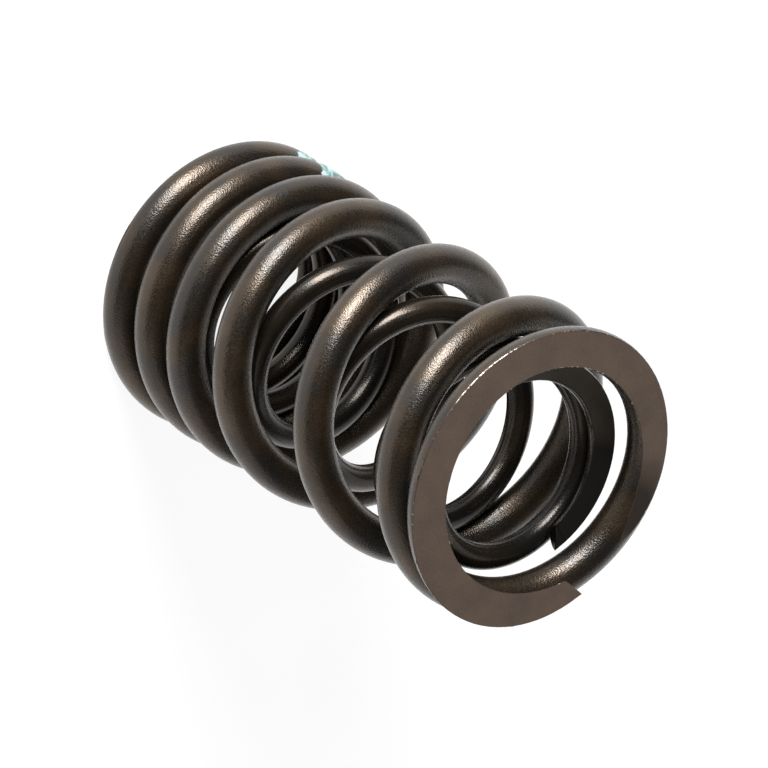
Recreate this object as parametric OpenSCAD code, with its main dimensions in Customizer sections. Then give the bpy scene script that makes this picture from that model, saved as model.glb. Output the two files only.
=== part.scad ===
// Engine valve spring: a nested pair of round-wire compression springs.
// Both have closed, ground ends and a progressive pitch: tight coils at the
// lower end, open ones above. The outer one is right-hand, the inner left-hand.
// Millimetres, +Z up. The pair stands on its tightly wound end at z = 0,
// the common axis is Z, and the end cuts of the outer spring lie at +X.

/* [Outer spring] */
// Outside diameter of the outer spring
outer_od = 35.3; // [34:0.1:37]
// Wire diameter of the outer spring
outer_wire = 4.5; // [4:0.1:4.8]
// Free length of the outer spring, ground face to ground face
outer_length = 61.5; // [58:0.5:66]
// Turns of the outer spring, end cut to end cut
outer_turns = 7; // [6.75:0.25:7.25]
// Pitch of the tight coils of the outer spring
outer_tight_pitch = 6.6; // [6:0.1:7.5]
// Turn, counted from the lower end cut, where its tight coils stop
outer_tight_until = 2.9; // [2.5:0.1:3.3]
// Length of its change from tight to open pitch, in turns
outer_pitch_change = 1.1; // [0.4:0.1:1.4]

/* [Inner spring] */
// Wire diameter of the inner spring
inner_wire = 3.1; // [2.8:0.1:3.4]
// Radial play between the inner spring and the bore of the outer one
nest_play = 0.15; // [0.1:0.05:0.5]
// Depth of the inner spring's upper face below that of the outer one
inner_recess = 4; // [2:0.5:6]
// Turns of the inner spring, end cut to end cut
inner_turns = 7.35; // [7:0.05:7.6]
// Pitch of the tight coils of the inner spring
inner_tight_pitch = 5.2; // [5:0.1:5.8]
// Turn, counted from the lower end cut, where its tight coils stop
inner_tight_until = 2.6; // [2.2:0.1:3]
// Length of its change from tight to open pitch, in turns
inner_pitch_change = 0.7; // [0.4:0.1:1.2]
// Angle from the outer to the inner end cut at the upper end, degrees
inner_angle = 8; // [0:1:30]

/* [Ground ends] */
// Wire left at the end cuts of the outer spring by grinding
outer_tip = 0.55; // [0.4:0.05:1]
// Wire left at the end cuts of the inner spring by grinding
inner_tip = 1; // [0.8:0.05:1.4]
// Gap between an end cut and the coil it closes on
tip_gap = 0.1; // [0.05:0.05:0.2]
// How far a closed end coil is flattened against its ground face
end_set = 0.8; // [0.6:0.05:0.9]
// Slant of the sheared end cuts, along the wire, per wire diameter
cut_slant = 0.5; // [0:0.05:0.7]

/* [Hidden] */

outer_mean_r = (outer_od - outer_wire) / 2;
inner_od = outer_od - 2 * outer_wire - 2 * nest_play;
inner_mean_r = (inner_od - inner_wire) / 2;
inner_length = outer_length - inner_recess;
end_blend = 0.65;
tight_blend = 0.15;
outer_steps = 24;
inner_steps = 24;
corner = 45;

// Rise of a closed end coil, x turns in from its end cut.
function end_rise(x, wire, tip) =
    tip - wire / 2 + (wire + tip_gap) * (x + end_set * sin(360 * x) / (2 * PI));

// Pitch of a closed end coil where it meets the working coils.
function end_pitch(wire) = (wire + tip_gap) * (1 + end_set);

// Height gained from knot to knot of a list of [turn, pitch] pairs.
function span(k, i) = (k[i + 1][0] - k[i][0]) * (k[i + 1][1] + k[i][1]) / 2;

function total(k, i = 0) = i >= len(k) - 1 ? 0 : span(k, i) + total(k, i + 1);

// Height gained up to turn t, the pitch changing evenly between knots.
function gained(k, t, i = 0) =
    i >= len(k) - 1 || t <= k[i][0] ? 0
    : t >= k[i + 1][0] ? span(k, i) + gained(k, t, i + 1)
    : let (x = t - k[i][0], run = k[i + 1][0] - k[i][0])
      x * k[i][1] + x * x / run * (k[i + 1][1] - k[i][1]) / 2;

// Height of the wire centre at turn t.
function centre_z(t, wire, tip, turns, length, k) =
    t < 1 ? end_rise(t, wire, tip)
    : t > turns - 1 ? length - end_rise(turns - t, wire, tip)
    : end_rise(1, wire, tip) + gained(k, t);

// Working height between the two closed end coils.
function working(length, wire, tip) = length - 2 * end_rise(1, wire, tip);

// Pitch knots of a progressive spring between its two end coils: tight up
// to turn until, then a change to the open pitch p.
function knots(p, wire, turns, tight, until, change) = [
    [1, end_pitch(wire)],
    [1 + tight_blend, tight],
    [until, tight],
    [until + change, p],
    [turns - 1 - end_blend, p],
    [turns - 1, end_pitch(wire)]
];

function outer_knots(p) = knots(p, outer_wire, outer_turns, outer_tight_pitch,
                                outer_tight_until, outer_pitch_change);

function inner_knots(p) = knots(p, inner_wire, inner_turns, inner_tight_pitch,
                                inner_tight_until, inner_pitch_change);

// The height is linear in the open pitch, so two trials give its value.
function solve(h, at0, at1) = (h - at0) / (at1 - at0);

outer_open = solve(working(outer_length, outer_wire, outer_tip),
                   total(outer_knots(0)), total(outer_knots(1)));
inner_open = solve(working(inner_length, inner_wire, inner_tip),
                   total(inner_knots(0)), total(inner_knots(1)));

// Half angle of the cut a ground plane at distance h makes in the wire.
function cut_angle(h, ry) = h >= ry ? corner : max(corner, acos(max(h, -ry) / ry));

// Section of the wire in a radial plane, flattened by the ground planes
// hb below and ht above its centre: five points below, three on each
// side and five above, as [radial, vertical] offsets.
function section(rx, ry, hb, ht) =
    let (cb = cut_angle(hb, ry), ct = cut_angle(ht, ry),
         ab = cb >= ct ? cb : min(corner, (180 - ct) / 2),
         at = ct > cb ? ct : min(corner, (180 - cb) / 2),
         side = (180 - ab - at) / 4)
    concat(
        [for (i = [-2:2]) let (x = rx * sin(ab) * i / 2)
            [x, max(-hb, -ry * sqrt(1 - pow(x / rx, 2)))]],
        [for (i = [1:3]) [rx * sin(ab + side * i), -ry * cos(ab + side * i)]],
        [for (i = [2:-1:-2]) let (x = rx * sin(at) * i / 2)
            [x, min(ht, ry * sqrt(1 - pow(x / rx, 2)))]],
        [for (i = [3:-1:1]) [-rx * sin(ab + side * i), -ry * cos(ab + side * i)]]
    );

// Ground wire as one closed skin. k holds the pitch knots, hand is 1 for
// right-hand and -1 for left-hand, phase the angle of the lower end cut.
module coil(mean_r, wire, tip, turns, length, k, hand, phase, steps) {
    rings = ceil(turns * steps);
    function at(t) = centre_z(t, wire, tip, turns, length, k);
    function ring(j) =
        let (t = turns * j / rings,
             slope = (at(min(t + 0.01, turns)) - at(max(t - 0.01, 0)))
                 / (min(t + 0.01, turns) - max(t - 0.01, 0)) / (2 * PI * mean_r),
             ry = wire / 2 * sqrt(1 + slope * slope),
             s = section(wire / 2, ry, at(t), length - at(t)),
             slant = j == 0 ? -1 : j == rings ? 1 : 0)
        [for (p = s)
            let (a = phase + hand * 360 * t
                     + hand * slant * cut_slant * p[0] / mean_r * 180 / PI,
                 r = mean_r + p[0])
            [r * cos(a), r * sin(a), min(length, max(0, at(t) + p[1]))]];
    m = 16;
    points = [for (j = [0:rings]) each ring(j)];
    skin = [for (j = [0:rings - 1], i = [0:m - 1])
        let (a = j * m + i, b = j * m + (i + 1) % m, c = b + m, d = a + m)
        each [[a, b, c], [a, c, d]]];
    lower = [[for (i = [m - 1:-1:0]) i]];
    upper = [[for (i = [0:m - 1]) rings * m + i]];
    faces = concat(skin, lower, upper);
    polyhedron(points, hand > 0 ? faces
        : [for (f = faces) [for (i = [len(f) - 1:-1:0]) f[i]]], convexity = 10);
}

module outer_spring() {
    color([0.30, 0.27, 0.25])
        coil(outer_mean_r, outer_wire, outer_tip, outer_turns, outer_length,
             outer_knots(outer_open), 1, -360 * outer_turns, outer_steps);
}

module inner_spring() {
    color([0.24, 0.22, 0.21])
        coil(inner_mean_r, inner_wire, inner_tip, inner_turns, inner_length,
             inner_knots(inner_open), -1, inner_angle + 360 * inner_turns, inner_steps);
}

outer_spring();
inner_spring();
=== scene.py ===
import math

import bmesh
import bpy
from mathutils import Matrix, Vector


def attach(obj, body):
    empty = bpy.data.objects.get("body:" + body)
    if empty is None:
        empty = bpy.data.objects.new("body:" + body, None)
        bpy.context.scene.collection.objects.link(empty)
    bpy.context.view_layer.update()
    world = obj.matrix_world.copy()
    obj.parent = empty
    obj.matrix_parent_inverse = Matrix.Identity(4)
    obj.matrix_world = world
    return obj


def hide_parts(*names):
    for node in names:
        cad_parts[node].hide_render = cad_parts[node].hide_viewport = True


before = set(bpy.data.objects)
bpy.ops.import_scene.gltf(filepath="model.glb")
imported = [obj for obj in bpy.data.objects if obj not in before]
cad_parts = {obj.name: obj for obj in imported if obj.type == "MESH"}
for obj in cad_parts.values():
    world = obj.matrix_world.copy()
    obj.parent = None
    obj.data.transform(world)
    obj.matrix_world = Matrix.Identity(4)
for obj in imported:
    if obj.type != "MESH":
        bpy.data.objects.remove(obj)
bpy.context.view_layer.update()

# Outer spring. Round oil-tempered spring steel, hot-set and shot-peened: one
# wire, wound right-hand, tight coils below and open coils above, both ends
# closed on the next coil and ground flat on a stone.
MM = 0.001
outer_od = 35.3 * MM
outer_wire = 4.5 * MM
outer_length = 61.5 * MM    # free, from ground face to ground face
outer_turns = 7             # from end cut to end cut
outer_tip = 0.55 * MM       # wire that grinding leaves at the end cuts

TIP_GAP = 0.1 * MM          # between an end cut and the coil it closes on
END_SET = 0.8               # how far an end coil is flattened, 1 is level
END_BLEND = 0.65            # turns in which an end coil opens to the working pitch
TIGHT_BLEND = 0.15          # turns in which the lower end coil does so
CUT_SLANT = 0.5             # slant of the sheared ends, per wire diameter
STEPS = 96                  # rings of vertices to a turn
SIDES = 40                  # vertices round the wire


def end_rise(x, wire, tip):
    """Height of the wire centre over the ground face, x turns from the end cut."""
    wave = END_SET * math.sin(2 * math.pi * x) / (2 * math.pi)
    return tip - wire / 2 + (wire + TIP_GAP) * (x + wave)


def gained(knots, t):
    """Height wound up to turn t, the pitch changing evenly between the knots."""
    height = 0.0
    for (t0, p0), (t1, p1) in zip(knots, knots[1:]):
        x = min(max(t - t0, 0.0), t1 - t0)
        height += x * p0 + x * x / (t1 - t0) * (p1 - p0) / 2
    return height


def pitch_knots(p, wire, turns, tight, until, change):
    """Turns and pitches between which the pitch changes, for an open pitch p."""
    closed = (wire + TIP_GAP) * (1 + END_SET)
    return [(1, closed), (1 + TIGHT_BLEND, tight), (until, tight), (until + change, p),
            (turns - 1 - END_BLEND, p), (turns - 1, closed)]


def solved_knots(length, tip, wire, turns, tight, until, change):
    """The pitch knots whose open pitch gives the spring its free length."""
    h = length - 2 * end_rise(1, wire, tip)
    at0, at1 = (gained(pitch_knots(p, wire, turns, tight, until, change), turns)
                for p in (0.0, 1.0))
    return pitch_knots((h - at0) / (at1 - at0), wire, turns, tight, until, change)


def wire_height(t, spring):
    """Height of the wire centre at turn t, counted from the lower end cut."""
    wire, tip, turns = spring["wire"], spring["tip"], spring["turns"]
    if t < 1:
        return end_rise(t, wire, tip)
    if t > turns - 1:
        return spring["length"] - end_rise(turns - t, wire, tip)
    return end_rise(1, wire, tip) + gained(spring["knots"], t)


def ring_place(t, spring, slant=0.0):
    """Where the wire's round section stands at turn t, stretched as its slope asks
    and leaning by slant where a sheared end is cut."""
    r, hand, turns = spring["mean_r"], spring["hand"], spring["turns"]
    side = 0.005    # turns to each side over which the slope is taken
    lo, hi = max(t - side, 0.0), min(t + side, turns)
    run = (hi - lo) * 2 * math.pi * r
    slope = (wire_height(hi, spring) - wire_height(lo, spring)) / run
    lean = Matrix.Identity(4)
    lean[1][0] = hand * slant
    return (Matrix.Rotation(spring["start"] + hand * 2 * math.pi * t, 4, "Z")
            @ Matrix.Translation((r, 0, wire_height(t, spring))) @ lean
            @ Matrix.Diagonal((1, 1, math.sqrt(1 + slope * slope), 1)))


def wind(spring):
    """Draws the round section along the helix, ring by ring, and closes its ends."""
    bm = bmesh.new()
    ring = bmesh.ops.create_circle(bm, segments=SIDES, radius=spring["wire"] / 2)["verts"]
    place = ring_place(0, spring, -CUT_SLANT)
    upright = Matrix.Rotation(math.pi / 2, 4, "X")
    bmesh.ops.transform(bm, matrix=place @ upright, verts=ring)
    edges = bm.edges[:]
    bmesh.ops.contextual_create(bm, geom=edges)
    count = round(spring["turns"] * STEPS)
    for j in range(1, count + 1):
        new = bmesh.ops.extrude_edge_only(bm, edges=edges)["geom"]
        verts = [v for v in new if isinstance(v, bmesh.types.BMVert)]
        edges = [e for e in new if isinstance(e, bmesh.types.BMEdge)]
        slant = CUT_SLANT if j == count else 0.0
        last, place = place, ring_place(spring["turns"] * j / count, spring, slant)
        bmesh.ops.transform(bm, matrix=place @ last.inverted(), verts=verts)
    bmesh.ops.contextual_create(bm, geom=edges)
    bmesh.ops.recalc_face_normals(bm, faces=bm.faces[:])
    return bm


def grind(bm, height, up):
    """Grinds an end flat, gives the flat the second material, and breaks the crease
    round it with a narrow edge of the third."""
    edge_break = 0.07 * MM
    sharp = math.radians(28)    # an edge that turns by more is a crease
    on_plane = 1e-7             # a vertex this near the stone's plane lies on it
    level = 0.999               # least upright part of a flat's normal
    everything = bm.verts[:] + bm.edges[:] + bm.faces[:]
    cut = bmesh.ops.bisect_plane(bm, geom=everything, dist=on_plane, clear_outer=True,
                                 plane_co=(0, 0, height), plane_no=(0, 0, up))
    rim = [e for e in cut["geom_cut"] if isinstance(e, bmesh.types.BMEdge)]
    flat = bmesh.ops.contextual_create(bm, geom=rim)["faces"][0]
    if flat.normal.z * up < 0:
        flat.normal_flip()
    flat.material_index = 1
    crease = [e for e in flat.edges if e.calc_face_angle(0) > sharp]
    edge = bmesh.ops.bevel(bm, geom=crease, offset=edge_break, offset_type="OFFSET",
                           segments=2, profile=0.5, affect="EDGES", material=-1)
    for f in edge["faces"]:
        f.material_index = 2
    flat = max(bm.faces, key=lambda f: len(f.verts) if f.normal.z * up > level else 0)
    for e in flat.edges:
        e.smooth = False


def finish_piece(bm, name, materials):
    """Turns the bmesh into a piece with its materials, smooth all over but for its
    ground faces and end cuts, which are single faces with many corners."""
    for f in bm.faces:
        f.smooth = len(f.verts) <= 4
    mesh = bpy.data.meshes.new(name)
    bm.to_mesh(mesh)
    bm.free()
    for m in materials:
        mesh.materials.append(m)
    piece = bpy.data.objects.new(name, mesh)
    bpy.context.scene.collection.objects.link(piece)
    return piece


def rgb(hex_colour):
    """An sRGB hex colour as the linear colour that Blender works in."""
    parts = [int(hex_colour[i:i + 2], 16) / 255 for i in (1, 3, 5)]
    return [c / 12.92 if c <= 0.04045 else ((c + 0.055) / 1.055) ** 2.4
            for c in parts] + [1.0]


def add(tree, kind, settings=None, stops=(), **sockets):
    """Adds a node with its settings and links. A socket goes by its name, or by its
    number as i0, and takes a value or another node's output. Stops are the
    (position, hex colour) pairs of a colour ramp, two or more."""
    made = tree.nodes.new(kind)
    for key, value in (settings or {}).items():
        setattr(made, key, value)
    for i, (position, colour) in enumerate(stops):
        bar = made.color_ramp.elements
        stop = bar[i] if i < len(bar) else bar.new(position)
        stop.position, stop.color = position, rgb(colour)
    for key, value in sockets.items():
        name = key.replace("_", " ")
        socket = made.inputs[int(key[1:])] if key[1:].isdigit() else made.inputs[name]
        if isinstance(value, bpy.types.NodeSocket):
            tree.links.new(value, socket)
        else:
            socket.default_value = value
    return made


def new_material(name):
    """An empty node material and its tree."""
    m = bpy.data.materials.new(name)
    m.use_nodes = True
    m.node_tree.nodes.clear()
    return m, m.node_tree


def reach(tree, where, centre, scale, near, far):
    """1 within near of a place and 0 beyond far of it, measured with x, y and z
    each scaled, so that a scale below 1 draws the spot out that way."""
    away = add(tree, "ShaderNodeVectorMath", {"operation": "SUBTRACT"},
               i0=where, i1=centre)
    shaped = add(tree, "ShaderNodeVectorMath", {"operation": "MULTIPLY"},
                 i0=away.outputs["Vector"], i1=scale)
    length = add(tree, "ShaderNodeVectorMath", {"operation": "LENGTH"},
                 i0=shaped.outputs["Vector"])
    return add(tree, "ShaderNodeMapRange", Value=length.outputs["Value"],
               From_Min=near, From_Max=far, To_Min=1.0, To_Max=0.0).outputs["Result"]


def peened_steel(name, dark, brown, light, roughness, grain, dimple, oil, dab=None):
    """Oil-tempered steel after shot-peening, oiled: a thin dark brown oxide skin in
    soft clouds, full of the shallow dimples nearly 0.2 mm across that the shot
    leaves, which break its highlights up into specks, under a clear film of oil.
    A dab is a stroke of colour-code paint across the wire."""
    cloud, pit, pit_depth, speck = 6 * MM, 0.18 * MM, 0.05 * MM, 0.2 * MM
    metal = 0.75    # the oxide and the oil dull the bare metal
    m, tree = new_material(name)
    where = add(tree, "ShaderNodeTexCoord").outputs["Object"]
    clouds = add(tree, "ShaderNodeTexNoise", Vector=where, Scale=1 / cloud, Detail=4.0)
    tone = add(tree, "ShaderNodeValToRGB", Fac=clouds.outputs["Fac"],
               stops=[(0.36, dark), (0.5, brown), (0.66, light)]).outputs["Color"]
    dimples = add(tree, "ShaderNodeTexVoronoi", {"feature": "SMOOTH_F1"},
                  Vector=where, Scale=1 / pit, Smoothness=0.4)
    grit = add(tree, "ShaderNodeTexNoise", Vector=where, Scale=1 / speck, Detail=2.0)
    rough = add(tree, "ShaderNodeMapRange", Value=grit.outputs["Fac"],
                From_Min=0.35, From_Max=0.65,
                To_Min=roughness - grain, To_Max=roughness + grain)
    bump = add(tree, "ShaderNodeBump", Height=dimples.outputs["Distance"],
               Strength=dimple, Distance=pit_depth)
    if dab:
        streak, drawn_out, full, gone = 1.2 * MM, (1, 1, 0.42), 1.0 * MM, 3.2 * MM
        ragged = add(tree, "ShaderNodeTexNoise", Vector=where, Scale=1 / streak, Detail=3.0)
        stroke = reach(tree, where, dab, drawn_out, full, gone)
        edge = add(tree, "ShaderNodeMath", {"operation": "ADD"}, i0=stroke,
                   i1=ragged.outputs["Fac"])
        paint = add(tree, "ShaderNodeMapRange", Value=edge.outputs["Value"],
                    From_Min=0.95, From_Max=1.05).outputs["Result"]
        colour = add(tree, "ShaderNodeValToRGB", Fac=ragged.outputs["Fac"],
                     stops=[(0.42, "#3b6c69"), (0.52, "#86b3ae"), (0.62, "#c3d4d8")])
        tone = add(tree, "ShaderNodeMix", {"data_type": "RGBA"}, i0=paint, i6=tone,
                   i7=colour.outputs["Color"]).outputs[2]
        metal = add(tree, "ShaderNodeMapRange", Value=paint, To_Min=metal,
                    To_Max=0.0).outputs["Result"]
    shader = add(tree, "ShaderNodeBsdfPrincipled", Base_Color=tone, Metallic=metal,
                 Roughness=rough.outputs["Result"], Normal=bump.outputs["Normal"],
                 Coat_Weight=oil, Coat_Roughness=0.26, Coat_Normal=bump.outputs["Normal"])
    add(tree, "ShaderNodeOutputMaterial", Surface=shader.outputs["BSDF"])
    return m


def stone_ground_steel(name, dark, light, skin_and_shade_colour, skin_and_shade_at, near, far):
    """Spring steel ground flat on a stone, then oiled dark: matt brown, mottled, with
    the fine grain of the stone, drawn at 0.25 mm so that it shows. Within near of
    one place it turns to a darker colour, which fades out at far. On the outer
    spring that darker colour is the skin kept where the stone only skims the wire;
    on the inner spring it is painted shade, the shade of the outer spring's upper
    coil on the recessed face."""
    cloud, grit, grit_depth = 4 * MM, 0.25 * MM, 0.02 * MM
    m, tree = new_material(name)
    where = add(tree, "ShaderNodeTexCoord").outputs["Object"]
    clouds = add(tree, "ShaderNodeTexNoise", Vector=where, Scale=1 / cloud, Detail=3.0)
    grain = add(tree, "ShaderNodeTexNoise", Vector=where, Scale=1 / grit, Detail=2.0)
    both = add(tree, "ShaderNodeMix", {"data_type": "FLOAT"}, i0=0.45,
               i2=clouds.outputs["Fac"], i3=grain.outputs["Fac"])
    tone = add(tree, "ShaderNodeValToRGB", Fac=both.outputs[0],
               stops=[(0.38, dark), (0.62, light)]).outputs["Color"]
    # Darker colour round one place: real skin on the outer spring, painted shade on the inner
    # spring.
    skin_and_shade = reach(tree, where, skin_and_shade_at, (1, 1, 1), near, far)
    tone = add(tree, "ShaderNodeMix", {"data_type": "RGBA"}, i0=skin_and_shade, i6=tone,
               i7=rgb(skin_and_shade_colour)).outputs[2]
    bump = add(tree, "ShaderNodeBump", Height=grain.outputs["Fac"],
               Strength=0.3, Distance=grit_depth)
    shader = add(tree, "ShaderNodeBsdfPrincipled", Base_Color=tone, Metallic=0.25,
                 Roughness=0.8, Normal=bump.outputs["Normal"])
    add(tree, "ShaderNodeOutputMaterial", Surface=shader.outputs["BSDF"])
    return m


def burred_edge_steel(name, dull, bright, burrs_and_glints=()):
    """The narrow broken edge round a ground face: mostly as dull as the face, with
    a ragged bright colour at the given places, partly a burr of bare steel and
    partly a painted highlight where the crease catches the light."""
    tooth, full, gone = 0.5 * MM, 3 * MM, 6 * MM
    m, tree = new_material(name)
    where = add(tree, "ShaderNodeTexCoord").outputs["Object"]
    wear = add(tree, "ShaderNodeTexNoise", Vector=where, Scale=1 / tooth, Detail=3.0)
    value = wear.outputs["Fac"]
    for place, strength in burrs_and_glints:
        burr_and_glint = reach(tree, where, place, (1, 1, 1), full, gone)
        value = add(tree, "ShaderNodeMath", {"operation": "MULTIPLY_ADD"}, i0=burr_and_glint,
                    i1=strength, i2=value).outputs["Value"]
    tone = add(tree, "ShaderNodeValToRGB", Fac=value,
               stops=[(0.60, dull), (0.70, bright)]).outputs["Color"]
    shader = add(tree, "ShaderNodeBsdfPrincipled", Base_Color=tone, Metallic=0.8,
                 Roughness=0.42)
    add(tree, "ShaderNodeOutputMaterial", Surface=shader.outputs["BSDF"])
    return m


outer = {"mean_r": (outer_od - outer_wire) / 2, "wire": outer_wire, "tip": outer_tip,
         "turns": outer_turns, "length": outer_length, "hand": 1,
         "start": -2 * math.pi * outer_turns,
         "knots": solved_knots(outer_length, outer_tip, outer_wire, outer_turns,
                               tight=6.6 * MM, until=2.9, change=1.1)}
painted = (-10.37 * MM, 14.28 * MM, 4.5 * MM)
run_out = (10.5 * MM, 9.5 * MM, outer_length)
# Partly a burr of bare steel, partly a painted highlight: the outer crease is painted near
# white round these two places, where it catches the light.
left_burr_and_glint = (-17.1 * MM, -3.3 * MM, outer_length)
upper_burr_and_glint = (-11.6 * MM, 7.2 * MM, outer_length)
outer_skin = peened_steel("oil_tempered_steel_peened_outer",
                          "#2e2a26", "#3a2f22", "#493b2b",
                          roughness=0.34, grain=0.13, dimple=0.5, oil=0.68, dab=painted)
outer_ground = stone_ground_steel("spring_steel_stone_ground_outer",
                                  "#66574d", "#756456", "#332a22",
                                  skin_and_shade_at=run_out, near=2.5 * MM, far=6.5 * MM)
outer_edge = burred_edge_steel("spring_steel_burred_edge_outer", "#66574f", "#e0d7ce",
                               [(left_burr_and_glint, 0.16), (upper_burr_and_glint, 0.1)])
bm = wind(outer)
grind(bm, outer_length, 1)
grind(bm, 0, -1)
outer_piece = finish_piece(bm, "outer_spring_wire", [outer_skin, outer_ground, outer_edge])
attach(outer_piece, "root")
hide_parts("outer_spring")

# Inner spring. Thinner round wire of the same steel, left-hand so that the two
# never lock into each other, and also tight below and open above, closed and
# ground; it stands free in the outer spring and ends 4 mm below its upper face.
inner_wire = 3.1 * MM
nest_play = 0.15 * MM       # gap all round, between the two springs
inner_recess = 4 * MM
inner_turns = 7.35
inner_angle = math.radians(8)   # from the outer to the inner end cut, at the top
inner_tip = 1.0 * MM
inner_od = outer_od - 2 * outer_wire - 2 * nest_play
inner_length = outer_length - inner_recess
inner = {"mean_r": (inner_od - inner_wire) / 2, "wire": inner_wire, "tip": inner_tip,
         "turns": inner_turns, "length": inner_length, "hand": -1,
         "start": inner_angle + 2 * math.pi * inner_turns,
         "knots": solved_knots(inner_length, inner_tip, inner_wire, inner_turns,
                               tight=5.2 * MM, until=2.6, change=0.7)}
# Painted shade: the inner spring's upper ground face turns near black round this place, where
# the outer spring's upper coil shades it; its lighter colours are where it is lit.
inner_painted_shade_at = (12 * MM, 4 * MM, inner_length)
# Painted shade: these colours are a darker copy of the outer spring's, for the shade inside
# the outer spring.
inner_skin = peened_steel("oil_tempered_steel_peened_inner",
                          "#292623", "#302921", "#3d342a",
                          roughness=0.25, grain=0.06, dimple=0.14, oil=0.3)
inner_ground = stone_ground_steel("spring_steel_stone_ground_inner",
                                  "#5e564b", "#6c6458", "#140f0c",
                                  skin_and_shade_at=inner_painted_shade_at, near=10 * MM, far=16.5 * MM)
inner_edge = burred_edge_steel("spring_steel_burred_edge_inner", "#3a332d", "#6b635b")
bm = wind(inner)
grind(bm, inner_length, 1)
grind(bm, 0, -1)
inner_piece = finish_piece(bm, "inner_spring_wire", [inner_skin, inner_ground, inner_edge])
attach(inner_piece, "root")
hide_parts("inner_spring")

# Stage. A plain floor that the camera and reflections see as white and that
# keeps a soft shadow, and a studio that is white along the horizon and dim
# above, so that the dark steel keeps its contrast.
FLOOR_REACH = 3.0
floor_mesh = bpy.data.meshes.new("floor")
bm = bmesh.new()
bmesh.ops.create_grid(bm, x_segments=1, y_segments=1, size=FLOOR_REACH)
bm.to_mesh(floor_mesh)
bm.free()
floor = bpy.data.objects.new("floor", floor_mesh)
bpy.context.scene.collection.objects.link(floor)
m, tree = new_material("white_studio_floor")
matt = add(tree, "ShaderNodeBsdfDiffuse", Color=rgb("#c8c8c8"))
pale = add(tree, "ShaderNodeBsdfDiffuse", Color=rgb("#808080"))
glow = add(tree, "ShaderNodeEmission", Color=(1, 1, 1, 1), Strength=0.9)
white = add(tree, "ShaderNodeAddShader", i0=pale.outputs["BSDF"],
            i1=glow.outputs["Emission"])
path = add(tree, "ShaderNodeLightPath")
seen = add(tree, "ShaderNodeMath", {"operation": "MAXIMUM"},
           i0=path.outputs["Is Camera Ray"], i1=path.outputs["Is Glossy Ray"])
seen = add(tree, "ShaderNodeMath", {"operation": "MAXIMUM"},
           i0=seen.outputs["Value"], i1=path.outputs["Is Transmission Ray"])
choose = add(tree, "ShaderNodeMixShader", i0=seen.outputs["Value"],
             i1=matt.outputs["BSDF"], i2=white.outputs["Shader"])
add(tree, "ShaderNodeOutputMaterial", Surface=choose.outputs["Shader"])
floor_mesh.materials.append(m)

world = bpy.data.worlds.new("white_studio")
bpy.context.scene.world = world
world.use_nodes = True
tree = world.node_tree
tree.nodes.clear()
horizon, dome = 0.07, 0.2   # heights on the unit sky between which the white fades
towards = add(tree, "ShaderNodeTexCoord").outputs["Generated"]
height = add(tree, "ShaderNodeSeparateXYZ", Vector=towards).outputs["Z"]
level = add(tree, "ShaderNodeMapRange", Value=height, From_Min=horizon, From_Max=dome,
            To_Min=1.0, To_Max=0.1)
sky = add(tree, "ShaderNodeBackground", Color=(1, 1, 1, 1),
          Strength=level.outputs["Result"])
add(tree, "ShaderNodeOutputWorld", Surface=sky.outputs["Background"])


def soft_box(name, towards, distance, width, height, watts):
    """An oblong studio light that faces the middle of the part."""
    lamp = bpy.data.lights.new(name, "AREA")
    lamp.shape, lamp.size, lamp.size_y, lamp.energy = "RECTANGLE", width, height, watts
    holder = bpy.data.objects.new(name, lamp)
    bpy.context.scene.collection.objects.link(holder)
    middle = Vector((0, 0, outer_length / 2))
    place = Matrix.Translation(middle + Vector(towards).normalized() * distance)
    holder.matrix_world = place @ Vector(towards).to_track_quat("Z", "Y").to_matrix().to_4x4()


soft_box("key_soft_box", (-0.955, 0.12, 0.27), distance=0.6,
         width=0.23, height=0.46, watts=7.8)
soft_box("fill_soft_box", (0.5, -0.78, 0.42), distance=0.8,
         width=0.8, height=0.6, watts=1.0)
soft_box("back_soft_box", (0.85, 0.45, 0.4), distance=0.8,
         width=0.7, height=0.6, watts=0.9)

# Camera. A long lens, from the photograph's side: above the upper face and
# rolled, so that the part's axis runs from lower right to upper left.
lens = bpy.data.cameras.new("camera")
lens.sensor_width, lens.lens = 36, 257.9
lens.clip_start, lens.clip_end = 0.05, 10
camera = bpy.data.objects.new("camera", lens)
bpy.context.scene.collection.objects.link(camera)
place = Vector((-0.36013, -0.22719, 0.48457))
right = Vector((0.23835, 0.77893, 0.58006))
upward = Vector((-0.77917, 0.50990, -0.36455))
back = Vector((-0.57973, -0.36507, 0.72845))
turn = Matrix((right, upward, back)).transposed().to_4x4()
camera.matrix_world = Matrix.Translation(place) @ turn
bpy.context.scene.camera = camera
bpy.context.scene.view_settings.view_transform = "Standard"
